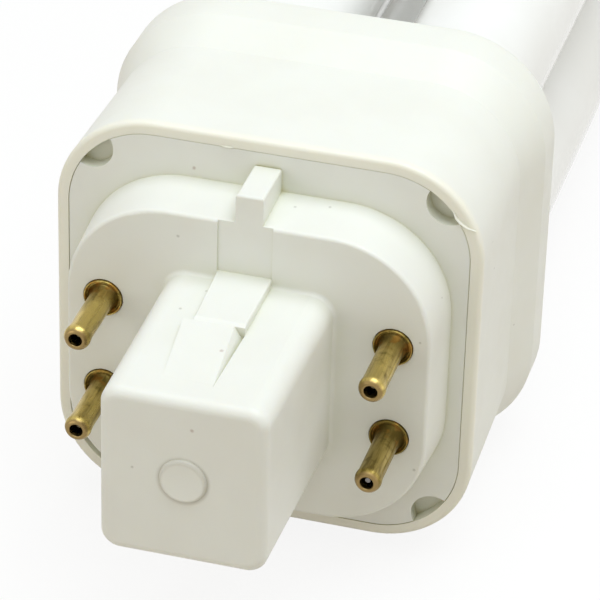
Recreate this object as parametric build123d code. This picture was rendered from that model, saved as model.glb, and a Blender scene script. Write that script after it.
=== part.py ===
"""Four-pin compact fluorescent lamp with a square plug-in cap, lying on its side.

X runs across the lamp, Y along it from the post (negative) to the glass (positive), and Z points to the
key rib. The origin is the middle of the four pins, on the face that the lampholder closes against.
All sizes are in millimetres.
"""
import math
import os

from build123d import *

# Contact pins. The root, out of sight in the cap, is thicker than the free length, so that it holds there
PIN_ROW_SPACING = 22.6
PIN_PAIR_SPACING = 8.0
PIN_DIAMETER = 2.1
PIN_LENGTH = 6.5
PIN_BORE = 1.3
PIN_NOSE_RADIUS = 0.35
PIN_NOSE_HOLE = 0.95
PIN_NOSE_DEPTH = 0.6
PIN_ROOT_DIAMETER = 2.7
PIN_ROOT_LENGTH = 4.6
PIN_BASE_FLARE = 0.18
PIN_BASE_LENGTH = 0.3
PIN_FLANGE_DIAMETER = 3.06
PIN_FLANGE_HEIGHT = 0.36
PIN_LIP_WIDTH = 0.2
PIN_LIP_DEPTH = 0.2
PIN_LIP_EDGE = 0.06
PIN_SEAM_WIDTH = 0.14
PIN_SEAM_DEPTH = 0.15
PIN_SEAM_ANGLE = 22.0

# Raised seat that carries the pins
SEAT_WIDTH = 28.3
SEAT_HEIGHT = 24.7
SEAT_CORNER = 7.9
SEAT_RISE = 5.0
SEAT_DRAFT = 4.2
SEAT_WALL = 1.6
SEAT_EDGE = 0.3
PIN_BOSS_DIAMETER = 4.6
FLANGE_POCKET_DEPTH = 0.16
FLANGE_POCKET_GAP = 0.05

# Groove in the seat above the latch strip, and the key rib above the seat
GROOVE_DEPTH = 0.15
KEY_WIDTH = 2.15
KEY_TOP = 14.65
KEY_EDGE = 0.2

# Plate around the seat, with a round notch at each corner
PLATE_THICKNESS = 1.2
PLATE_GAP = 0.03
PLATE_EDGE = 0.06
NOTCH_RADIUS = 1.75
NOTCH_CENTRE = 13.9

# Hollow post, with a low round button on its end
POST_WIDTH = 12.6
POST_HEIGHT = 13.9
POST_LENGTH = 16.4
POST_CENTRE_SIDE = 0.15
POST_CENTRE_HEIGHT = 0.15
POST_DRAFT = 0.8
POST_CORNER = 1.5
POST_EDGE = 0.8
POST_ROOT_RADIUS = 0.35
POST_WALL = 1.4
BUTTON_DIAMETER = 3.6
BUTTON_RISE = 0.28
BUTTON_EDGE = 0.26
BUTTON_DISH = 0.08
BUTTON_SIDE = 0.24
BUTTON_HEIGHT = 0.35

# Latch on top of the post: a raised strip, and a ramp that leads up to it
STRIP_LEFT = -2.4
STRIP_RIGHT = 1.87
STRIP_FRONT_LEFT = -2.06
STRIP_LENGTH = 6.45
STRIP_RISE = 0.67
STRIP_EDGE = 0.15
RAMP_START = 6.85
RAMP_LENGTH = 7.15
RAMP_RISE = 0.6
RAMP_SINK = 0.03
RAMP_REAR_LEFT = -2.83
RAMP_REAR_RIGHT = 1.05
RAMP_FRONT_LEFT = -2.2
RAMP_FRONT_RIGHT = 1.65
RELIEF_DEPTH = 0.6

# Housing: a square sleeve round the plate that flares out to a wider collar behind it
SLEEVE_WIDTH = 33.4
SLEEVE_CORNER = 7.7
SLEEVE_DEPTH = 13.5
SLEEVE_DRAFT = 1.2
SLEEVE_WALL = 1.6
RIM_WALL = 0.95
RIM_EDGE = 0.35
COLLAR_WIDTH = 35.2
COLLAR_REAR_EDGE = 1.2
FLARE_DEPTH = 3.7
COLLAR_DEPTH = 4.3
TOP_WALL = 1.6
CORNER_PAD_DIAMETER = 4.9
CORNER_PAD_DEPTH = 3.0
SOCKET_WALL = 1.3
SOCKET_RISE = 1.6
SOCKET_GAP = 0.12

# Glass
OVERALL_LENGTH = 146.0
TUBE_DIAMETER = 12.0
TUBE_PITCH = 16.0
BRIDGE_DIAMETER = 7.5
BRIDGE_OFFSET = 7.5
CEMENT_DEPTH = 4.5
LEG_TAIL = 1.2
SEAL_WIDTH = 8.6
SEAL_THICKNESS = 3.0
SEAL_LENGTH = 4.5
TIP_DIAMETER = 3.0
TIP_LENGTH = 3.0
TIP_ROUNDNESS = 1 / 2.2

# Lead wires: the straight stretch at a bend, the share of it that the bend takes, and how far behind the
# nose of its pin each wire ends
WIRE_DIAMETER = 0.4
WIRE_SPREAD = 4.0
WIRE_STRAIGHT = 1.6
WIRE_BEND_SHARE = 0.45
WIRE_RECESS = {"left_upper": 0.9, "left_lower": 0.8, "right_upper": 0.9, "right_lower": 0.45}

# Places worked out from the sizes above
PLATE_FRONT = SEAT_RISE
PLATE_BACK = PLATE_FRONT + PLATE_THICKNESS
SLEEVE_BACK = PLATE_FRONT + SLEEVE_DEPTH
SLEEVE_SHRINK = SLEEVE_DEPTH * math.tan(math.radians(SLEEVE_DRAFT))
FLARE_RISE = COLLAR_WIDTH / 2 - SLEEVE_WIDTH / 2 + SLEEVE_SHRINK
FLARE_BACK = SLEEVE_BACK + FLARE_DEPTH
COLLAR_BACK = FLARE_BACK + COLLAR_DEPTH
TOP_WALL_INSIDE = COLLAR_BACK - TOP_WALL
CEMENT_FRONT = TOP_WALL_INSIDE - CEMENT_DEPTH
LEG_END = CEMENT_FRONT - LEG_TAIL
SEAL_END = LEG_END - SEAL_LENGTH
POST_FRONT = -POST_LENGTH
TUBE_TOP = OVERALL_LENGTH + POST_FRONT - BUTTON_RISE
BEND_CENTRE = TUBE_TOP - (TUBE_PITCH + TUBE_DIAMETER) / 2
PIN_SIDES = {"left": -1, "right": 1}
PIN_LEVELS = {"upper": 1, "lower": -1}


def facing_pins(y):
    """A plane across the lamp whose normal points to the post, with its second axis up."""
    return Plane(origin=(0, y, 0), x_dir=(1, 0, 0), z_dir=(0, -1, 0))


def prism(outline, front, back):
    """An outline across the lamp, made solid from one place on the lamp's axis to another."""
    return extrude(facing_pins(back) * outline, amount=back - front)


def rounded_square(width, corner):
    return RectangleRounded(width, width, corner)


def pin_places():
    """The name and the place across the lamp of each pin."""
    for side, x_sign in PIN_SIDES.items():
        for level, z_sign in PIN_LEVELS.items():
            yield f"{side}_{level}", x_sign * PIN_ROW_SPACING / 2, z_sign * PIN_PAIR_SPACING / 2


def drafted_block(width, height, corner, front, back, draft):
    """A rounded block whose size is given at its front end and grows by the draft towards its back."""
    depth = back - front
    growth = depth * math.tan(math.radians(draft))
    foot = RectangleRounded(width + 2 * growth, height + 2 * growth, corner + growth)
    return extrude(facing_pins(back) * foot, amount=depth, taper=draft)


def round_front_edges(solid, radius):
    return fillet(solid.faces().sort_by(Axis.Y)[0].edges(), radius)


def post_top(y):
    """Height of the post's top face at a place on the lamp's axis."""
    return POST_CENTRE_HEIGHT + POST_HEIGHT / 2 + (y - POST_FRONT) * math.tan(math.radians(POST_DRAFT))


def strip_top():
    return post_top(0) + STRIP_RISE


def seat():
    block = drafted_block(SEAT_WIDTH, SEAT_HEIGHT, SEAT_CORNER, 0, SEAT_RISE, SEAT_DRAFT)
    block = round_front_edges(block, SEAT_EDGE)
    height = SEAT_HEIGHT - strip_top()
    middle = Pos((STRIP_LEFT + STRIP_RIGHT) / 2, strip_top() + height / 2)
    groove = middle * Rectangle(STRIP_RIGHT - STRIP_LEFT, height)
    return block - prism(groove, -GROOVE_DEPTH, GROOVE_DEPTH)


def seat_room():
    """The inside of the seat, open at the back of the plate."""
    width = SEAT_WIDTH - 2 * SEAT_WALL
    height = SEAT_HEIGHT - 2 * SEAT_WALL
    return drafted_block(width, height, SEAT_CORNER - SEAT_WALL, SEAT_WALL, PLATE_BACK, SEAT_DRAFT)


def post():
    block = drafted_block(POST_WIDTH, POST_HEIGHT, POST_CORNER, POST_FRONT, PLATE_BACK, POST_DRAFT)
    return Pos(POST_CENTRE_SIDE, 0, POST_CENTRE_HEIGHT) * round_front_edges(block, POST_EDGE)


def seat_with_post():
    """The seat and the post, with the inner corner between them rounded."""
    body = seat() + post()
    across = POST_WIDTH / 2 + POST_CORNER
    reach = POST_HEIGHT / 2 + POST_CORNER / 2
    root = body.edges().filter_by_position(Axis.Y, 0, 0)
    root = root.filter_by_position(Axis.X, -across, across).filter_by_position(Axis.Z, -reach, reach)
    return fillet(root, POST_ROOT_RADIUS)


def post_button():
    """A low disc with a rounded rim and a slightly hollow face."""
    disc = prism(Circle(BUTTON_DIAMETER / 2), POST_FRONT - BUTTON_RISE, POST_FRONT + BUTTON_RISE)
    disc = round_front_edges(disc, BUTTON_EDGE)
    half = BUTTON_DIAMETER / 2 - BUTTON_EDGE
    ball = (half**2 + BUTTON_DISH**2) / (2 * BUTTON_DISH)
    dish = Pos(0, POST_FRONT - BUTTON_RISE + BUTTON_DISH - ball, 0) * Sphere(ball)
    return Pos(BUTTON_SIDE, 0, BUTTON_HEIGHT) * (disc - dish)


def post_room():
    """The inside of the post, open at the back of the plate."""
    width = POST_WIDTH - 2 * POST_WALL
    height = POST_HEIGHT - 2 * POST_WALL
    room = drafted_block(width, height, POST_CORNER / 2, POST_FRONT + POST_WALL, PLATE_BACK, POST_DRAFT)
    return Pos(POST_CENTRE_SIDE, 0, POST_CENTRE_HEIGHT) * room


def latch_foot():
    """A height inside the post's top wall, where the strip and the ramp start."""
    return post_top(POST_FRONT) - POST_WALL / 2


def latch_strip():
    """The raised strip. Its front end steps down to the ramp."""
    foot = latch_foot()
    ramp_top = post_top(-RAMP_START) + RAMP_RISE
    corners = [
        (STRIP_LEFT, 0),
        (STRIP_RIGHT, 0),
        (STRIP_RIGHT, -RAMP_START),
        (STRIP_FRONT_LEFT, -RAMP_START),
    ]
    plan = make_face(Polyline(*[(x, y, foot) for x, y in corners], close=True))
    profile = [
        (0, foot),
        (0, strip_top()),
        (-STRIP_LENGTH, strip_top()),
        (-RAMP_START, ramp_top),
        (-RAMP_START, foot),
    ]
    side = make_face(Polyline(*[(0, y, z) for y, z in profile], close=True))
    across = extrude(side, amount=POST_WIDTH, dir=(1, 0, 0), both=True)
    upwards = extrude(plan, amount=POST_HEIGHT, dir=(0, 0, 1))
    strip = across & upwards
    long_edges = strip.faces().sort_by(Axis.Z)[-1].edges().sort_by(Axis.Y)[1:-1]
    return fillet(long_edges, STRIP_EDGE)


def lofted_wedge(rear_corners, front_corners):
    """A solid between two outlines across the lamp, at the rear and the front of the ramp."""
    rear = facing_pins(-RAMP_START) * make_face(Polyline(*rear_corners, close=True))
    front = facing_pins(-RAMP_START - RAMP_LENGTH) * make_face(Polyline(*front_corners, close=True))
    return loft([rear, front], ruled=True)


def latch_ramp():
    """The ramp in front of the strip, which starts level with the post's top."""
    foot = latch_foot()
    high = post_top(-RAMP_START) + RAMP_RISE
    low = post_top(-RAMP_START - RAMP_LENGTH) - RAMP_SINK
    rear_right = (RAMP_REAR_RIGHT + STRIP_RIGHT) / 2
    front_right = RAMP_FRONT_RIGHT - RAMP_SINK
    return lofted_wedge(
        [(RAMP_REAR_LEFT, foot), (RAMP_REAR_LEFT, high), (rear_right, high), (rear_right, foot)],
        [(RAMP_FRONT_LEFT, foot), (RAMP_FRONT_LEFT, low), (front_right, low), (front_right, foot)],
    )


def latch_relief():
    """The cut beside the ramp: a slope down from the ramp's edge to a wall in line with the strip's side."""
    rear_top = post_top(-RAMP_START)
    high = rear_top + RAMP_RISE + RAMP_SINK
    front_top = post_top(-RAMP_START - RAMP_LENGTH)
    front_left = RAMP_FRONT_RIGHT - 2 * RAMP_SINK
    return lofted_wedge(
        [(RAMP_REAR_RIGHT, high), (STRIP_RIGHT, high), (STRIP_RIGHT, rear_top - RELIEF_DEPTH)],
        [
            (front_left, front_top + RAMP_SINK),
            (RAMP_FRONT_RIGHT, front_top + RAMP_SINK),
            (RAMP_FRONT_RIGHT, front_top - RAMP_SINK),
        ],
    )


def key_rib():
    """The rib that stands on the seat's top, its front level with the groove's floor."""
    foot = SEAT_HEIGHT / 2 - SEAT_WALL / 2
    rib = Box(KEY_WIDTH, SEAT_RISE - GROOVE_DEPTH, KEY_TOP - foot)
    rib = fillet(rib.faces().sort_by(Axis.Z)[-1].edges(), KEY_EDGE)
    return Pos(0, (SEAT_RISE + GROOVE_DEPTH) / 2, (KEY_TOP + foot) / 2) * rib


def mouth_outline(gap):
    """Inside of the rim, less a gap all round."""
    inset = RIM_WALL + gap
    return rounded_square(SLEEVE_WIDTH - 2 * inset, SLEEVE_CORNER - inset)


def corner_places():
    return [Pos(x, z) for x in (-NOTCH_CENTRE, NOTCH_CENTRE) for z in (-NOTCH_CENTRE, NOTCH_CENTRE)]


def base_plate():
    outline = mouth_outline(PLATE_GAP)
    plate = prism(outline, PLATE_FRONT, PLATE_BACK)
    plate = chamfer(plate.faces().sort_by(Axis.Y)[0].edges(), PLATE_EDGE)
    notches = [place * Circle(NOTCH_RADIUS) for place in corner_places()]
    return plate - prism(Sketch() + notches, PLATE_FRONT, PLATE_BACK)


def pin_boss(x, z):
    return prism(Pos(x, z) * Circle(PIN_BOSS_DIAMETER / 2), SEAT_WALL / 2, PIN_ROOT_LENGTH)


def pin_bore(x, z):
    """The hole that a pin is driven into, with a shallow pocket for its flange."""
    bore = prism(Pos(x, z) * Circle(PIN_ROOT_DIAMETER / 2), -SEAT_RISE, PLATE_BACK)
    pocket = Circle(PIN_FLANGE_DIAMETER / 2 + FLANGE_POCKET_GAP)
    return bore + prism(Pos(x, z) * pocket, -FLANGE_POCKET_DEPTH, FLANGE_POCKET_DEPTH)


def pin_carrier():
    """The cap moulding: plate, seat, key rib, hollow post and latch in one piece."""
    body = base_plate() + seat_with_post() - seat_room() + post() - post_room()
    body = body + post_button() + key_rib() + latch_strip() + latch_ramp() - latch_relief()
    for _, x, z in pin_places():
        body = body + pin_boss(x, z) - pin_bore(x, z)
    return body


def contact_pin(x, z):
    """A folded brass tube with a closed-in nose, a rolled lip against the seat and a seam along its side."""
    outer = PIN_DIAMETER / 2
    bore = PIN_BORE / 2
    hole = PIN_NOSE_HOLE / 2
    flange = PIN_FLANGE_DIAMETER / 2
    root = PIN_ROOT_DIAMETER / 2
    lip_front = FLANGE_POCKET_DEPTH - PIN_FLANGE_HEIGHT
    lip_floor = lip_front + PIN_LIP_DEPTH
    nose_start = -PIN_LENGTH + PIN_NOSE_RADIUS
    nose_back = -PIN_LENGTH + PIN_NOSE_DEPTH
    lines = Polyline(
        (hole, -PIN_LENGTH),
        (hole, nose_back),
        (bore, nose_back + bore - hole),
        (bore, PIN_ROOT_LENGTH),
        (root, PIN_ROOT_LENGTH),
        (root, FLANGE_POCKET_DEPTH),
        (flange, FLANGE_POCKET_DEPTH),
        (flange, lip_front + PIN_LIP_EDGE),
        (flange - PIN_LIP_EDGE, lip_front),
        (flange - PIN_LIP_WIDTH, lip_front),
        (flange - PIN_LIP_WIDTH, lip_floor),
        (outer + PIN_BASE_FLARE, lip_floor),
        (outer, lip_floor - PIN_BASE_LENGTH),
        (outer, nose_start),
    )
    nose = RadiusArc((outer, nose_start), (outer - PIN_NOSE_RADIUS, -PIN_LENGTH), PIN_NOSE_RADIUS)
    tip = Line((outer - PIN_NOSE_RADIUS, -PIN_LENGTH), (hole, -PIN_LENGTH))
    body = revolve(make_face(Curve() + [lines, nose, tip]), axis=Axis.Y)
    seam_length = lip_front + PIN_LENGTH
    seam = Pos(outer, lip_front - seam_length / 2, 0) * Box(2 * PIN_SEAM_DEPTH, seam_length, PIN_SEAM_WIDTH)
    turn = PIN_SEAM_ANGLE if x > 0 else 180 - PIN_SEAM_ANGLE
    body = body - Rot(0, -turn, 0) * seam
    return Pos(x, 0, z) * body


def flared(width, corner, back):
    """A block that starts at the sleeve's back, flares out and then runs straight to its own back."""
    draft = math.degrees(math.atan(FLARE_RISE / FLARE_DEPTH))
    flare = drafted_block(width, width, corner, SLEEVE_BACK, FLARE_BACK, draft)
    return flare + prism(rounded_square(width + 2 * FLARE_RISE, corner + FLARE_RISE), FLARE_BACK, back)


def housing_room():
    """The inside of the housing, from the plate's back to the top wall."""
    width = SLEEVE_WIDTH - 2 * SLEEVE_WALL
    corner = SLEEVE_CORNER - SLEEVE_WALL
    straight = prism(rounded_square(width, corner), PLATE_BACK, SLEEVE_BACK)
    return straight + flared(width, corner, TOP_WALL_INSIDE)


def tube_places():
    """The four legs' places across the lamp: side, level and centre."""
    half = TUBE_PITCH / 2
    return [(x, z) for x in (-half, half) for z in (-half, half)]


def lamp_housing():
    """Sleeve, collar and top wall in one moulding, with a ring round each glass leg."""
    square = (SLEEVE_WIDTH, SLEEVE_WIDTH, SLEEVE_CORNER)
    sleeve = drafted_block(*square, PLATE_FRONT, SLEEVE_BACK, -SLEEVE_DRAFT)
    sleeve = round_front_edges(sleeve, RIM_EDGE)
    collar = flared(SLEEVE_WIDTH - 2 * SLEEVE_SHRINK, SLEEVE_CORNER - SLEEVE_SHRINK, COLLAR_BACK)
    collar = fillet(collar.faces().sort_by(Axis.Y)[-1].edges(), COLLAR_REAR_EDGE)
    body = sleeve + collar - housing_room()
    body = body - prism(mouth_outline(0), PLATE_FRONT - RIM_EDGE, PLATE_BACK)
    wall_middle = rounded_square(SLEEVE_WIDTH - SLEEVE_WALL, SLEEVE_CORNER - SLEEVE_WALL / 2)
    for place in corner_places():
        pad = wall_middle & (place * Circle(CORNER_PAD_DIAMETER / 2))
        body = body + prism(pad, PLATE_BACK, PLATE_BACK + CORNER_PAD_DEPTH)
    socket_radius = TUBE_DIAMETER / 2 + SOCKET_GAP + SOCKET_WALL
    for x, z in tube_places():
        body = body + prism(Pos(x, z) * Circle(socket_radius), TOP_WALL_INSIDE, COLLAR_BACK + SOCKET_RISE)
    for x, z in tube_places():
        hole = Circle(TUBE_DIAMETER / 2 + SOCKET_GAP)
        body = body - prism(Pos(x, z) * hole, CEMENT_FRONT, COLLAR_BACK + SOCKET_RISE + SOCKET_GAP)
    return body


def basing_cement():
    """The poured block that holds the glass legs behind the top wall."""
    slab = prism(rounded_square(COLLAR_WIDTH, SLEEVE_CORNER), CEMENT_FRONT, TOP_WALL_INSIDE)
    legs = [Pos(x, z) * Circle(TUBE_DIAMETER / 2) for x, z in tube_places()]
    return (slab & housing_room()) - prism(Sketch() + legs, CEMENT_FRONT, TOP_WALL_INSIDE)


def glass_u(x):
    """One U of tube: an upper and a lower leg and the bend between them."""
    half = TUBE_PITCH / 2
    radius = TUBE_DIAMETER / 2
    legs = [prism(Pos(x, z) * Circle(radius), LEG_END, BEND_CENTRE) for z in (-half, half)]
    section = facing_pins(BEND_CENTRE) * (Pos(x, half) * Circle(radius))
    bend = revolve(section, axis=Axis((0, BEND_CENTRE, 0), (-1, 0, 0)), revolution_arc=180)
    return legs[0] + legs[1] + bend


def press_seal(x):
    """The flattened end of a leg that holds an electrode, where two wires come out."""
    outline = Pos(x, TUBE_PITCH / 2) * RectangleRounded(SEAL_WIDTH, SEAL_THICKNESS, SEAL_THICKNESS / 3)
    return prism(outline, SEAL_END, LEG_END)


def exhaust_tip(x):
    """The closed stem at the end of a leg without an electrode."""
    stem = prism(Pos(x, -TUBE_PITCH / 2) * Circle(TIP_DIAMETER / 2), LEG_END - TIP_LENGTH, LEG_END)
    return round_front_edges(stem, TIP_DIAMETER * TIP_ROUNDNESS)


def discharge_tube():
    """Two coated U tubes joined by a bridge: sealed glass that can't be seen into."""
    half = TUBE_PITCH / 2
    bridge_y = COLLAR_BACK + BRIDGE_OFFSET
    bridge = Pos(0, bridge_y, -half) * Rot(0, 90, 0) * Cylinder(BRIDGE_DIAMETER / 2, TUBE_PITCH)
    glass = glass_u(-half) + glass_u(half) + bridge
    for x in (-half, half):
        glass = glass + press_seal(x) + exhaust_tip(x)
    return glass


def lead_wire(x, z, recess):
    """A wire from its press seal to a place behind the nose of its pin."""
    seal_x = math.copysign(TUBE_PITCH / 2, x)
    reach = WIRE_SPREAD / 2 if z > 0 else -WIRE_SPREAD / 2
    start = Vector(seal_x + math.copysign(1, x) * reach, SEAL_END, TUBE_PITCH / 2)
    leave = start - Vector(0, WIRE_STRAIGHT, 0)
    enter = Vector(x, PIN_ROOT_LENGTH + WIRE_STRAIGHT, z)
    end = Vector(x, -PIN_LENGTH + recess, z)
    run = (enter - leave).length
    turn = math.radians((enter - leave).get_angle(Vector(0, -1, 0)))
    bend = WIRE_BEND_SHARE * min(run, WIRE_STRAIGHT) / math.tan(turn / 2)
    path = FilletPolyline(start, leave, enter, end, radius=bend)
    section = Plane(origin=start, z_dir=(0, -1, 0)) * Circle(WIRE_DIAMETER / 2)
    return sweep(section, path=path)


def main():
    os.makedirs("parts", exist_ok=True)
    nodes = {
        "pin_carrier": pin_carrier(),
        "lamp_housing": lamp_housing(),
        "basing_cement": basing_cement(),
        "discharge_tube": discharge_tube(),
    }
    for name, x, z in pin_places():
        nodes[f"contact_pin_{name}"] = contact_pin(x, z)
        nodes[f"lead_wire_{name}"] = lead_wire(x, z, WIRE_RECESS[name])
    for name, solid in nodes.items():
        export_step(solid, f"parts/{name}.step")


main()
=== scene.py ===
"""A four-pin compact fluorescent lamp, seen from its cap.

Blender units are metres. Named sizes are in millimetres, colours in linear light.
"""
import math

import bpy
from mathutils import Matrix, Vector, noise as value_noise


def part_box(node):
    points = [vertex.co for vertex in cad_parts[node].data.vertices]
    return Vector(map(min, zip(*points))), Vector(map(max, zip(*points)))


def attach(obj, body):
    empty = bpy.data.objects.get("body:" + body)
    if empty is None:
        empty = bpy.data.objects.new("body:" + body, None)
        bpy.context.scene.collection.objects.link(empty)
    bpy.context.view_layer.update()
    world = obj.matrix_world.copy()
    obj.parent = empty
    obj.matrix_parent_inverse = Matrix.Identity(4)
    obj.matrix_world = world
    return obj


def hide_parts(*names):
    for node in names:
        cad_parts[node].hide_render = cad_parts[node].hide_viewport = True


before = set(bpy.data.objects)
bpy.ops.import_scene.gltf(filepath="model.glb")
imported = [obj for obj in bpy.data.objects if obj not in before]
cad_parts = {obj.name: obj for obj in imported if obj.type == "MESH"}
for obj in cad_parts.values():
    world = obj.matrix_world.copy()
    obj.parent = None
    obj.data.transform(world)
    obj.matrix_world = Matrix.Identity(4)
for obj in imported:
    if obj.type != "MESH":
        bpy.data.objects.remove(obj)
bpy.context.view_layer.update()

MM = 0.001

# The camera: its direction, its tilt about the view, and where the view's middle passes the pins
CAMERA_AZIMUTH = 15.05
CAMERA_ELEVATION = 31.42
CAMERA_ROLL = 1.71
CAMERA_DISTANCE = 269.0
CAMERA_AIM_RIGHT = 3.94
CAMERA_AIM_UP = 5.17
CAMERA_LENS = 214.3
CAMERA_SENSOR = 36
CAMERA_NEAR = 10
CAMERA_FAR = 20000

# The floor, where the collar's rear edge and the far end of the glass touch it. It is white where it is
# seen, and throws back less light than that, and warmer, onto the lamp.
FLOOR_SIZE = 4000
COLLAR_REAR = 2.8
FLOOR_COLOUR = (0.94, 0.945, 0.94)
FLOOR_SHADE = (0.93, 0.935, 0.93)
FLOOR_BOUNCE = (0.58, 0.53, 0.445)
FLOOR_GLOW = 0.88

# Lamps: place, size across, strength and colour
LAMPS = {
    "top_lamp": ((85, -25, 470), 420, 0.89, (0.87, 0.945, 1.0)),
    "side_lamp": ((420, 20, 100), 320, 0.12, (1.0, 0.985, 0.96)),
    "fill_lamp": ((-290, -330, 90), 300, 0.17, (1.0, 0.98, 0.93)),
}
ROOM_COLOUR = (1.0, 0.955, 0.865)
ROOM_STRENGTH = 0.455
WHITE = (1, 1, 1, 1)

# Noise patterns: scale per millimetre, detail and, where it isn't a half, roughness
PLASTIC_MOTTLE = (0.16, 3)
PLASTIC_GLOSS = (0.6, 3)
PLASTIC_GRAIN = (5, 2)
BRASS_STREAKS = (2.5, 4, 0.6)
BRASS_BLOTCHES = (0.9, 3, 0.6)
BRASS_PATCHES = (1.3, 2)
GLASS_CLOUDS = (0.08, 3)
GLASS_WAVES = (0.12, 2)
CEMENT_GRAINS = (3.0, 4, 0.7)
WIRE_STREAKS = (4.0, 3)
FLOOR_GRAIN = (0.02, 2)
SPECK_EDGE = (6, 2)

# Bumps: strength and height
PLASTIC_BUMP = (0.25, 0.02)
BRASS_BUMP = (0.3, 0.03)
GLASS_BUMP = (0.15, 0.15)
CEMENT_BUMP = (0.6, 0.1)

# Crevices: how far a surface looks for others, and how open it is where the effect is full and where it
# ends
# Painted shade: darkens crevices and corners where shade falls
PAINTED_SHADE_CREVICE = (2.2, 0.35, 1.0)
# Grime together with painted shade in narrow crevices
GRIME_AND_SHADE_CREVICE = (0.7, 0.2, 0.75)
BRASS_CREVICE = (0.8, 0.3, 0.9)
CREVICE_SAMPLES = 8

# White plastic. The rim and seam spans are places along the lamp where an effect starts and is full.
CAP_COLOUR = (0.814, 0.822, 0.775)
CAP_SHADE = (0.799, 0.802, 0.75)
HOUSING_COLOUR = (0.824, 0.832, 0.779)
HOUSING_SHADE = (0.809, 0.812, 0.752)
MOTTLE_SPAN = (0.35, 0.7)
RIM_TINT = (0.90, 0.87, 0.74)
RIM_SPAN = (6.0, 5.2)
RIM_SHARE = 0.6
# Painted shade: a darker, yellower colour where surfaces close in, standing in for the shade of crevices
PAINTED_SHADE = (0.71, 0.72, 0.60)
PAINTED_SHADE_SHARE = 0.6
# Grime and painted shade: an olive darkening in narrow crevices, seams and notches
GRIME_AND_SHADE = (0.56, 0.53, 0.27)
GRIME_AND_SHADE_SHARE = (0.25, 0.65)
SEAM_SPAN = (4.0, 4.9)
DUST = (0.12, 0.08, 0.05)
DUST_CELLS = 0.42
DUST_EDGE = (0.05, 0.02)
DUST_CHANCE = (0.86, 0.9)
DUST_SHARE = 0.5
GLOSS_SPAN = (0.2, 0.8)
PLASTIC_ROUGHNESS = (0.36, 0.5)
PLASTIC_IOR = 1.5
SCATTER_SHARE = 0.12
SCATTER_COLOURS = (1.0, 0.8, 0.45)
SCATTER_DEPTH = 0.8

# Specks on the cap: place, radius and colour
SPECK_BROWN = (0.25, 0.10, 0.06)
SPECK_GREY = (0.30, 0.29, 0.24)
SPECK_SHARE = 0.42
SPECK_SPAN = (2.0, 0.8)
SPECKS = [
    ((1.0, -9.8, 7.6), 0.16, SPECK_BROWN),
    ((0.86, -16.4, 4.74), 0.14, SPECK_BROWN),
    ((-3.6, -16.4, 0.73), 0.1, SPECK_GREY),
    ((-2.6, -1.9, 7.3), 0.12, SPECK_GREY),
    ((-3.7, -4.8, 7.26), 0.12, SPECK_GREY),
    ((-5.7, -12.1, 7.15), 0.1, SPECK_GREY),
    ((-5.43, 0, 10.44), 0.12, SPECK_GREY),
    ((13.35, 0, 4.77), 0.1, SPECK_GREY),
    ((6.65, 0, -1.52), 0.1, SPECK_GREY),
    ((6.27, 0, -4.66), 0.1, SPECK_GREY),
    ((13.38, 0, -6.54), 0.12, SPECK_GREY),
    ((2.6, 3.3, 12.6), 0.12, SPECK_GREY),
    ((5.1, 4.0, 12.6), 0.12, SPECK_GREY),
    ((-5.78, 5, 13.49), 0.14, SPECK_BROWN),
]

# Painted shadow rings on the cap: centre, radius and reach. The one round the button sits a little low on
# it.
PAINTED_RING_SHADOW = (0.55, 0.53, 0.47)
PAINTED_RING_SHADOW_SHARE = 0.72
PAINTED_SHADOW_RINGS = [((0.24, -16.5, 0.27), 1.78, 0.36)]

# Brass. Tarnish is what each pin adds to the wear of its streaks, blotches, root and crevices.
BRASS = (0.60, 0.465, 0.15)
BRASS_DARK = (0.18, 0.13, 0.03)
BRASS_BROWN = (0.34, 0.19, 0.04)
BRASS_END = (0.29, 0.20, 0.08)
TARNISH = {"left_upper": -0.08, "left_lower": 0.12, "right_upper": 0.14, "right_lower": 0.5}
STREAK_STRETCH = (1, 0.08, 1)
STREAK_SPAN = (0.4, 0.7)
STREAK_SHARE = 0.6
BLOTCH_SPAN = (0.5, 0.75)
BLOTCH_SHARE = 0.5
ROOT_SPAN = (-3.0, 0.0)
ROOT_SHARE = 0.4
CREVICE_SHARE = 0.25
PATCH_SPAN = (0.48, 0.62)
BROWN_SPAN = (-2.2, -0.4)
END_SPAN = (-6.2, -6.42)
BRASS_ROUGHNESS = (0.24, 0.46)

# Glass, cement and wire
GLASS_WHITE = (0.88, 0.885, 0.87)
GLASS_SHADE = (0.84, 0.84, 0.815)
GLASS_ROUGHNESS = 0.4
GLASS_COAT_ROUGHNESS = 0.03
CLOUD_SPAN = (0.3, 0.7)
CEMENT = (0.55, 0.5, 0.4)
CEMENT_SHADE = (0.42, 0.37, 0.28)
CEMENT_ROUGHNESS = 0.9
GRAIN_SPAN = (0.3, 0.7)
WIRE = (0.30, 0.29, 0.28)
WIRE_SHADE = (0.18, 0.17, 0.16)
WIRE_STRETCH = (1, 0.1, 1)
WIRE_ROUGHNESS = 0.35

# Visible pins: radii, and places along the pin from its nose or from the seat. A sweep is the start and
# the end of an arc, in degrees, and its steps.
PIN_BEAD = 1.05
PIN_WAIST = 0.97
PIN_BORE = 0.65
NOSE_HOLE = 0.5
NOSE_RING = 0.59
NOSE_ROUND = 0.6
NOSE_INSIDE = 0.12
NOSE_DEPTH = 0.9
NOSE_SWEEP = (-90, 0, 12)
HOLE_SWEEP = (0, 80, 6)
WAIST_FROM_NOSE = (1.3, 2.2, 3.1)
WAIST_BACK = 1.6
FOOT_START = 0.95
FOOT_RADIUS = 1.3
FOOT_SINK = 0.06
FOOT_SWEEP = (8, 90, 12)
LIP_WIDTH = 0.14
LIP_FRONT = 0.2
LIP_SWEEP = (0, 180, 8)
PIN_ROOT = 1.35
PIN_SEAT = 0.16
PIN_SEGMENTS = 96
SEAM_ANGLE = 22
SEAM_DEPTH = 0.07
SEAM_WAVES = 1.5
DENT_DEPTH = 0.016
DENTS_ROUND = 1.2
DENTS_ALONG = 0.7
DENT_SHIFT = 10
SHARP_ANGLE = 50

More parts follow.
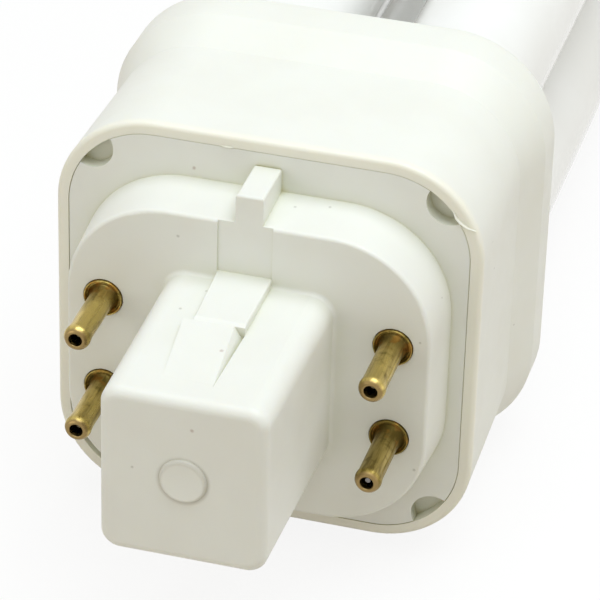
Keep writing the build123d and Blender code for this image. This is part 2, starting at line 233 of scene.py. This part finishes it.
# Burrs on the rim: path across it, width and rise. Their ends keep a little thickness.
BURR_FRONT = 5.0
BURR_SIDES = 8
BURR_END = 0.4
BURRS = {
    "corner": ([(14.21, 13.41), (14.45, 12.89), (14.79, 12.55), (15.32, 12.19), (16.04, 12.01)], 0.13, 0.2),
    "top": ([(-3.7, 15.77), (-3.45, 15.76), (-3.2, 15.74), (-2.95, 15.75), (-2.7, 15.77)], 0.1, 0.12),
}


def fill_sockets(tree, made, values):
    """Sets a node's input sockets to values, or links them to other nodes' sockets."""
    for key, value in values.items():
        if isinstance(value, bpy.types.NodeSocket):
            tree.links.new(value, made.inputs[key])
        else:
            made.inputs[key].default_value = value


def add_node(tree, kind, values=None, **settings):
    """A shader node with its settings and its input sockets."""
    made = tree.nodes.new(kind)
    for key, value in settings.items():
        setattr(made, key, value)
    fill_sockets(tree, made, values or {})
    return made


def new_material(name):
    material = bpy.data.materials.new(name)
    material.use_nodes = True
    tree = material.node_tree
    return material, tree, tree.nodes["Principled BSDF"]


def millimetres(tree, stretch=(1, 1, 1)):
    """Places on the object in millimetres, stretched along each axis."""
    place = add_node(tree, "ShaderNodeTexCoord").outputs["Object"]
    scale = tuple(k / MM for k in stretch)
    return add_node(tree, "ShaderNodeMapping", {"Vector": place, "Scale": scale}).outputs["Vector"]


def along_lamp(tree, place):
    """The place along the lamp, which is 0 at the seat and below 0 in front of it."""
    return add_node(tree, "ShaderNodeSeparateXYZ", {"Vector": place}).outputs["Y"]


def noise(tree, place, scale, detail=2.0, roughness=0.5):
    values = {"Vector": place, "Scale": scale, "Detail": detail, "Roughness": roughness}
    return add_node(tree, "ShaderNodeTexNoise", values).outputs["Fac"]


def ramp(tree, factor, low, high):
    """A factor spread from 0 at low to 1 at high, eased."""
    values = {"Value": factor, "From Min": low, "From Max": high}
    return add_node(tree, "ShaderNodeMapRange", values, interpolation_type="SMOOTHSTEP").outputs["Result"]


def spread(tree, factor, span, to_span):
    """A factor's span spread over another one, in a straight line."""
    values = {"Value": factor, "From Min": span[0], "From Max": span[1]}
    values.update({"To Min": to_span[0], "To Max": to_span[1]})
    return add_node(tree, "ShaderNodeMapRange", values).outputs["Result"]


def mix(tree, factor, first, second):
    """Two colours, the second one shown by the factor. The node's sockets 6 and 7 take them."""
    made = add_node(tree, "ShaderNodeMix", data_type="RGBA")
    colours = [(*value, 1) if isinstance(value, tuple) else value for value in (first, second)]
    fill_sockets(tree, made, {0: factor, 6: colours[0], 7: colours[1]})
    return made.outputs[2]


def arithmetic(tree, operation, first, second):
    return add_node(tree, "ShaderNodeMath", {0: first, 1: second}, operation=operation).outputs[0]


def times(tree, first, second):
    return arithmetic(tree, "MULTIPLY", first, second)


def plus(tree, first, *others):
    """The sum of the first factor and the others."""
    total = first
    for other in others:
        total = arithmetic(tree, "ADD", total, other)
    return total


def bump(tree, height, strength, distance):
    values = {"Height": height, "Strength": strength, "Distance": distance * MM}
    return add_node(tree, "ShaderNodeBump", values).outputs["Normal"]


def seen_ray(tree):
    """1 for a ray from the camera, a reflection or glass, and 0 for one that only carries light."""
    path = add_node(tree, "ShaderNodeLightPath")
    seen = arithmetic(tree, "MAXIMUM", path.outputs["Is Camera Ray"], path.outputs["Is Glossy Ray"])
    return arithmetic(tree, "MAXIMUM", seen, path.outputs["Is Transmission Ray"])


def dust_mask(tree, place):
    """Sparse specks, one in a few of the cells that a cell pattern makes."""
    cells = add_node(tree, "ShaderNodeTexVoronoi", {"Vector": place, "Scale": DUST_CELLS})
    chance = add_node(tree, "ShaderNodeSeparateColor", {"Color": cells.outputs["Color"]}).outputs[0]
    near = ramp(tree, cells.outputs["Distance"], *DUST_EDGE)
    return times(tree, near, ramp(tree, chance, *DUST_CHANCE))


def crevice_mask(tree, reach, full, end):
    """Where surfaces close in on each other, as in a seam."""
    values = {"Distance": reach * MM}
    closed = add_node(tree, "ShaderNodeAmbientOcclusion", values, samples=CREVICE_SAMPLES)
    return ramp(tree, closed.outputs["AO"], end, full)


def speck_mask(tree, place, centre, radius):
    """A small spot with an uneven edge."""
    distance = add_node(tree, "ShaderNodeVectorMath", {0: place, 1: centre}, operation="DISTANCE")
    gap = plus(tree, distance.outputs["Value"], times(tree, noise(tree, place, *SPECK_EDGE), radius))
    outside, inside = SPECK_SPAN
    return times(tree, ramp(tree, gap, outside * radius, inside * radius), SPECK_SHARE)


def painted_shadow_ring_mask(tree, place, centre, radius, reach):
    """A ring that fades on both sides, for a painted shadow."""
    distance = add_node(tree, "ShaderNodeVectorMath", {0: place, 1: centre}, operation="DISTANCE")
    off_ring = arithmetic(tree, "SUBTRACT", distance.outputs["Value"], radius)
    off_ring = arithmetic(tree, "ABSOLUTE", off_ring, 0)
    return times(tree, ramp(tree, off_ring, reach, 0), PAINTED_RING_SHADOW_SHARE)


def seam_grime_and_shade(tree, along):
    """Grime and painted shade in narrow crevices, more of it behind the plate's front than on the cap."""
    return times(tree, crevice_mask(tree, *GRIME_AND_SHADE_CREVICE), spread(tree, along, SEAM_SPAN, GRIME_AND_SHADE_SHARE))


def plastic_colour(tree, place, colour, shade, rim_share, specks, rings):
    """Mottled colour with, in turn, rim tint, painted shade, grime and painted shade, dust, specks, shadow
    rings.
    """
    along = along_lamp(tree, place)
    body = mix(tree, ramp(tree, noise(tree, place, *PLASTIC_MOTTLE), *MOTTLE_SPAN), colour, shade)
    body = mix(tree, times(tree, ramp(tree, along, *RIM_SPAN), rim_share), body, RIM_TINT)
    # Painted shade in crevices and corners
    body = mix(tree, times(tree, crevice_mask(tree, *PAINTED_SHADE_CREVICE), PAINTED_SHADE_SHARE), body, PAINTED_SHADE)
    # Grime and painted shade in narrow crevices and seams
    body = mix(tree, seam_grime_and_shade(tree, along), body, GRIME_AND_SHADE)
    body = mix(tree, times(tree, dust_mask(tree, place), DUST_SHARE), body, DUST)
    for centre, radius, speck_colour in specks:
        body = mix(tree, speck_mask(tree, place, centre, radius), body, speck_colour)
    # Painted shadow rings, darkest under the button's lower edge
    for ring in rings:
        body = mix(tree, painted_shadow_ring_mask(tree, place, *ring), body, PAINTED_RING_SHADOW)
    return body


def moulded_plastic(name, colour, shade, rim_share=0.0, specks=(), rings=()):
    """White moulded plastic with a soft gloss that lets a little light in."""
    material, tree, shader = new_material(name)
    place = millimetres(tree)
    gloss = ramp(tree, noise(tree, place, *PLASTIC_GLOSS), *GLOSS_SPAN)
    fill_sockets(tree, shader, {
        "Base Color": plastic_colour(tree, place, colour, shade, rim_share, specks, rings),
        "Roughness": spread(tree, gloss, (0, 1), PLASTIC_ROUGHNESS),
        "IOR": PLASTIC_IOR,
        "Subsurface Weight": SCATTER_SHARE,
        "Subsurface Radius": SCATTER_COLOURS,
        "Subsurface Scale": SCATTER_DEPTH * MM,
        "Normal": bump(tree, noise(tree, place, *PLASTIC_GRAIN), *PLASTIC_BUMP),
    })
    return material


def brass_wear(tree, place, streaks, tarnish):
    """How far the brass has darkened: in streaks and blotches, towards the seat and in crevices."""
    streaky = times(tree, ramp(tree, streaks, *STREAK_SPAN), STREAK_SHARE)
    blotches = times(tree, ramp(tree, noise(tree, place, *BRASS_BLOTCHES), *BLOTCH_SPAN), BLOTCH_SHARE)
    root = times(tree, ramp(tree, along_lamp(tree, place), *ROOT_SPAN), ROOT_SHARE)
    hidden = times(tree, crevice_mask(tree, *BRASS_CREVICE), CREVICE_SHARE)
    return plus(tree, streaky, blotches, root, tarnish, hidden)


def drawn_brass(name, tarnish):
    """Dull brass with streaks along the pin, brown patches near its lip and a browner end."""
    material, tree, shader = new_material(f"brass_{name}")
    place = millimetres(tree)
    along = along_lamp(tree, place)
    streaks = noise(tree, millimetres(tree, STREAK_STRETCH), *BRASS_STREAKS)
    worn = brass_wear(tree, place, streaks, tarnish)
    patches = ramp(tree, noise(tree, place, *BRASS_PATCHES), *PATCH_SPAN)
    body = mix(tree, worn, BRASS, BRASS_DARK)
    body = mix(tree, times(tree, patches, ramp(tree, along, *BROWN_SPAN)), body, BRASS_BROWN)
    body = mix(tree, ramp(tree, along, *END_SPAN), body, BRASS_END)
    fill_sockets(tree, shader, {
        "Base Color": body,
        "Metallic": 1.0,
        "Roughness": spread(tree, worn, (0, 1), BRASS_ROUGHNESS),
        "Normal": bump(tree, streaks, *BRASS_BUMP),
    })
    return material


def coated_glass():
    """Clear glass over a white powder coating."""
    material, tree, shader = new_material("coated_glass")
    place = millimetres(tree)
    clouds = ramp(tree, noise(tree, place, *GLASS_CLOUDS), *CLOUD_SPAN)
    fill_sockets(tree, shader, {
        "Base Color": mix(tree, clouds, GLASS_WHITE, GLASS_SHADE),
        "Roughness": GLASS_ROUGHNESS,
        "Coat Weight": 1.0,
        "Coat Roughness": GLASS_COAT_ROUGHNESS,
        "Normal": bump(tree, noise(tree, place, *GLASS_WAVES), *GLASS_BUMP),
    })
    return material


def poured_cement():
    material, tree, shader = new_material("basing_cement")
    grains = noise(tree, millimetres(tree), *CEMENT_GRAINS)
    fill_sockets(tree, shader, {
        "Base Color": mix(tree, ramp(tree, grains, *GRAIN_SPAN), CEMENT, CEMENT_SHADE),
        "Roughness": CEMENT_ROUGHNESS,
        "Normal": bump(tree, grains, *CEMENT_BUMP),
    })
    return material


def plated_wire():
    material, tree, shader = new_material("lead_wire")
    streaks = noise(tree, millimetres(tree, WIRE_STRETCH), *WIRE_STREAKS)
    fill_sockets(tree, shader, {
        "Base Color": mix(tree, streaks, WIRE, WIRE_SHADE),
        "Metallic": 1.0,
        "Roughness": WIRE_ROUGHNESS,
    })
    return material


def dress(node, material):
    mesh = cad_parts[node].data
    mesh.materials.clear()
    mesh.materials.append(material)


def arc(centre, radii, start, end, steps):
    """Points on a part of an ellipse, each a radius and a place along the pin."""
    turns = [math.radians(start + (end - start) * i / steps) for i in range(steps + 1)]
    return [(centre[0] + radii[0] * math.cos(t), centre[1] + radii[1] * math.sin(t)) for t in turns]


def pin_profile(nose, back, flange):
    """From the ring round the nose's hole, down the outside of the pin and back up its bore."""
    waist = [nose + gap for gap in WAIST_FROM_NOSE] + [-WAIST_BACK, -FOOT_START]
    foot = (FOOT_RADIUS, -FOOT_START)
    lip = (flange - LIP_WIDTH / 2, -LIP_FRONT + LIP_WIDTH / 2)
    return [
        *arc((NOSE_RING, nose + NOSE_ROUND), (PIN_BEAD - NOSE_RING, NOSE_ROUND), *NOSE_SWEEP),
        *((PIN_WAIST, y) for y in waist),
        *arc(foot, (PIN_WAIST - FOOT_RADIUS, FOOT_START + FOOT_SINK), *FOOT_SWEEP),
        *arc(lip, (-LIP_WIDTH / 2, -LIP_WIDTH / 2), *LIP_SWEEP),
        (flange, PIN_SEAT),
        (PIN_ROOT, PIN_SEAT),
        (PIN_ROOT, back),
        (PIN_BORE, back),
        (PIN_BORE, nose + NOSE_DEPTH),
        *arc((NOSE_RING, nose + NOSE_INSIDE), (NOSE_HOLE - NOSE_RING, -NOSE_INSIDE), *HOLE_SWEEP),
    ]


def pin_dent(turn, y, seam, nose):
    """How far the wall of a pin's free length lies inside a true cylinder."""
    across = (DENTS_ROUND * math.cos(turn), DENTS_ROUND * math.sin(turn) + DENT_SHIFT * seam)
    dent = DENT_DEPTH * (1 + value_noise.noise(Vector((across[0], DENTS_ALONG * y, across[1]))))
    on_seam = abs(turn - seam) * PIN_SEGMENTS < math.tau / 2
    if on_seam and nose + NOSE_ROUND < y < -LIP_FRONT:
        dent += SEAM_DEPTH * (1 + value_noise.noise(Vector((0, SEAM_WAVES * y, seam))))
    return dent


def ring_faces(rings, sides, closed):
    """Four-sided faces between rings of points. A closed piece's last ring also joins its first one."""
    faces = []
    for ring in range(rings if closed else rings - 1):
        here = ring * sides
        there = (ring + 1) % rings * sides
        for i in range(sides):
            j = (i + 1) % sides
            faces.append((here + i, there + i, there + j, here + j))
    return faces


def brass_pin(pin, material):
    """A pin turned round its axis, with a rounded nose, waist, trumpet foot, rolled lip and outer seam."""
    node = f"contact_pin_{pin}"
    low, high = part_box(node)
    axis = (low + high) / 2
    nose = low.y / MM
    profile = pin_profile(nose, high.y / MM, (high.x - low.x) / 2 / MM)
    side = SEAM_ANGLE if axis.x > 0 else 180 - SEAM_ANGLE
    step = math.tau / PIN_SEGMENTS
    seam = round(math.radians(side) / step) * step
    points = []
    for radius, y in profile:
        free = radius > PIN_BORE and nose + NOSE_INSIDE < y < -LIP_FRONT / 2
        for i in range(PIN_SEGMENTS):
            turn = i * step
            r = radius - (pin_dent(turn, y, seam, nose) if free else 0)
            points.append((axis.x + r * MM * math.cos(turn), y * MM, axis.z + r * MM * math.sin(turn)))
    faces = ring_faces(len(profile), PIN_SEGMENTS, True)
    piece = new_piece(f"brass_pin_{pin}", points, faces, material)
    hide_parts(node)


def new_piece(name, points, faces, material):
    """A smooth-shaded mesh that rides on the lamp, with its sharp edges kept sharp."""
    mesh = bpy.data.meshes.new(name)
    mesh.from_pydata(points, [], faces)
    mesh.materials.append(material)
    mesh.shade_smooth()
    mesh.set_sharp_from_angle(angle=math.radians(SHARP_ANGLE))
    piece = bpy.data.objects.new(name, mesh)
    bpy.context.scene.collection.objects.link(piece)
    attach(piece, "root")
    return piece


def rim_burr(name, outline, width, rise, material):
    """A thin ridge left on the rim, thickest in the middle and pointed at both ends."""
    path = [Vector((x, BURR_FRONT, z)) for x, z in outline]
    last = len(path) - 1
    inwards = Vector((0, 1, 0))
    points = []
    for n, centre in enumerate(path):
        along = (path[min(n + 1, last)] - path[max(n - 1, 0)]).normalized()
        across = along.cross(inwards)
        size = math.sin(math.pi * (n + BURR_END) / (last + 2 * BURR_END))
        for i in range(BURR_SIDES):
            turn = math.tau * i / BURR_SIDES
            reach = across * math.cos(turn) * width + inwards * math.sin(turn) * rise
            points.append((centre + reach * size) * MM)
    faces = ring_faces(len(path), BURR_SIDES, False)
    faces.append(tuple(range(BURR_SIDES)))
    faces.append(tuple(range(last * BURR_SIDES, len(points)))[::-1])
    new_piece(f"rim_burr_{name}", points, faces, material)


def dress_nodes():
    # The cap gets a painted shadow ring round its button
    cap = moulded_plastic("cap_plastic", CAP_COLOUR, CAP_SHADE, specks=SPECKS, rings=PAINTED_SHADOW_RINGS)
    dress("pin_carrier", cap)
    housing = moulded_plastic("housing_plastic", HOUSING_COLOUR, HOUSING_SHADE, rim_share=RIM_SHARE)
    dress("lamp_housing", housing)
    for name, (outline, width, rise) in BURRS.items():
        rim_burr(name, outline, width, rise, housing)
    dress("discharge_tube", coated_glass())
    dress("basing_cement", poured_cement())
    wire = plated_wire()
    for pin, tarnish in TARNISH.items():
        brass_pin(pin, drawn_brass(pin, tarnish))
        dress(f"lead_wire_{pin}", wire)


def floor_material():
    """Pale floor: seen straight or in a reflection it glows a little, so that it stays near white."""
    material, tree, shader = new_material("floor")
    tree.nodes.remove(shader)
    seen = seen_ray(tree)
    pale = mix(tree, noise(tree, millimetres(tree), *FLOOR_GRAIN), FLOOR_COLOUR, FLOOR_SHADE)
    plain = add_node(tree, "ShaderNodeBsdfDiffuse", {"Color": mix(tree, seen, FLOOR_BOUNCE, pale)})
    glow = add_node(tree, "ShaderNodeEmission", {"Color": WHITE, "Strength": 1.0})
    shown = {0: times(tree, seen, FLOOR_GLOW), 1: plain.outputs[0], 2: glow.outputs[0]}
    both = add_node(tree, "ShaderNodeMixShader", shown)
    tree.links.new(both.outputs[0], tree.nodes["Material Output"].inputs["Surface"])
    return material


def lay_floor():
    """A plane through the lowest line of the housing and the lowest point of the glass's far end."""
    housing_low, housing_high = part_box("lamp_housing")
    glass_low, glass_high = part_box("discharge_tube")
    edge = Vector((0, housing_high.y - COLLAR_REAR * MM, housing_low.z))
    bend_radius = (glass_high.z - glass_low.z) / 2
    far = Vector((0, glass_high.y - bend_radius, glass_low.z))
    slope = math.atan2(far.z - edge.z, far.y - edge.y)
    half = FLOOR_SIZE * MM / 2
    corners = [(-half, -half, 0), (half, -half, 0), (half, half, 0), (-half, half, 0)]
    mesh = bpy.data.meshes.new("floor")
    mesh.from_pydata(corners, [], [(0, 1, 2, 3)])
    mesh.materials.append(floor_material())
    floor = bpy.data.objects.new("floor", mesh)
    floor.matrix_world = Matrix.Translation(edge) @ Matrix.Rotation(slope, 4, "X")
    bpy.context.scene.collection.objects.link(floor)


def light_room():
    """A room that gives soft light from all round, and looks white where it is seen."""
    world = bpy.data.worlds.new("room")
    bpy.context.scene.world = world
    world.use_nodes = True
    tree = world.node_tree
    light = {"Color": (*ROOM_COLOUR, 1), "Strength": ROOM_STRENGTH}
    room = add_node(tree, "ShaderNodeBackground", light)
    white = add_node(tree, "ShaderNodeBackground", {"Color": WHITE, "Strength": 1.0})
    shown = {0: seen_ray(tree), 1: room.outputs[0], 2: white.outputs[0]}
    both = add_node(tree, "ShaderNodeMixShader", shown)
    tree.links.new(both.outputs[0], tree.nodes["World Output"].inputs["Surface"])


def place_lamp(name, place, size, strength, colour):
    """A square area lamp that looks at the cap. Its strength is what it adds to a white face before it."""
    position = Vector(place) * MM
    lamp = bpy.data.lights.new(name, "AREA")
    lamp.size = size * MM
    lamp.color = colour
    lamp.energy = strength * math.pi**2 * position.length**2
    made = bpy.data.objects.new(name, lamp)
    made.location = position
    made.rotation_euler = position.to_track_quat("Z", "Y").to_euler()
    bpy.context.scene.collection.objects.link(made)


def place_camera():
    azimuth = math.radians(CAMERA_AZIMUTH)
    elevation = math.radians(CAMERA_ELEVATION)
    roll = math.radians(CAMERA_ROLL)
    flat = math.cos(elevation)
    back = Vector((math.sin(azimuth) * flat, -math.cos(azimuth) * flat, math.sin(elevation)))
    right = Vector((math.cos(azimuth), math.sin(azimuth), 0))
    up = back.cross(right)
    place = (right * CAMERA_AIM_RIGHT + up * CAMERA_AIM_UP + back * CAMERA_DISTANCE) * MM
    turned_right = right * math.cos(roll) + up * math.sin(roll)
    turned_up = up * math.cos(roll) - right * math.sin(roll)
    camera = bpy.data.cameras.new("camera")
    camera.lens = CAMERA_LENS
    camera.sensor_width = CAMERA_SENSOR
    camera.clip_start = CAMERA_NEAR * MM
    camera.clip_end = CAMERA_FAR * MM
    made = bpy.data.objects.new("camera", camera)
    turned = Matrix((turned_right, turned_up, back)).transposed().to_4x4()
    made.matrix_world = Matrix.Translation(place) @ turned
    bpy.context.scene.collection.objects.link(made)
    bpy.context.scene.camera = made


dress_nodes()
lay_floor()
light_room()
for name, settings in LAMPS.items():
    place_lamp(name, *settings)
place_camera()
bpy.context.scene.view_settings.view_transform = "Standard"
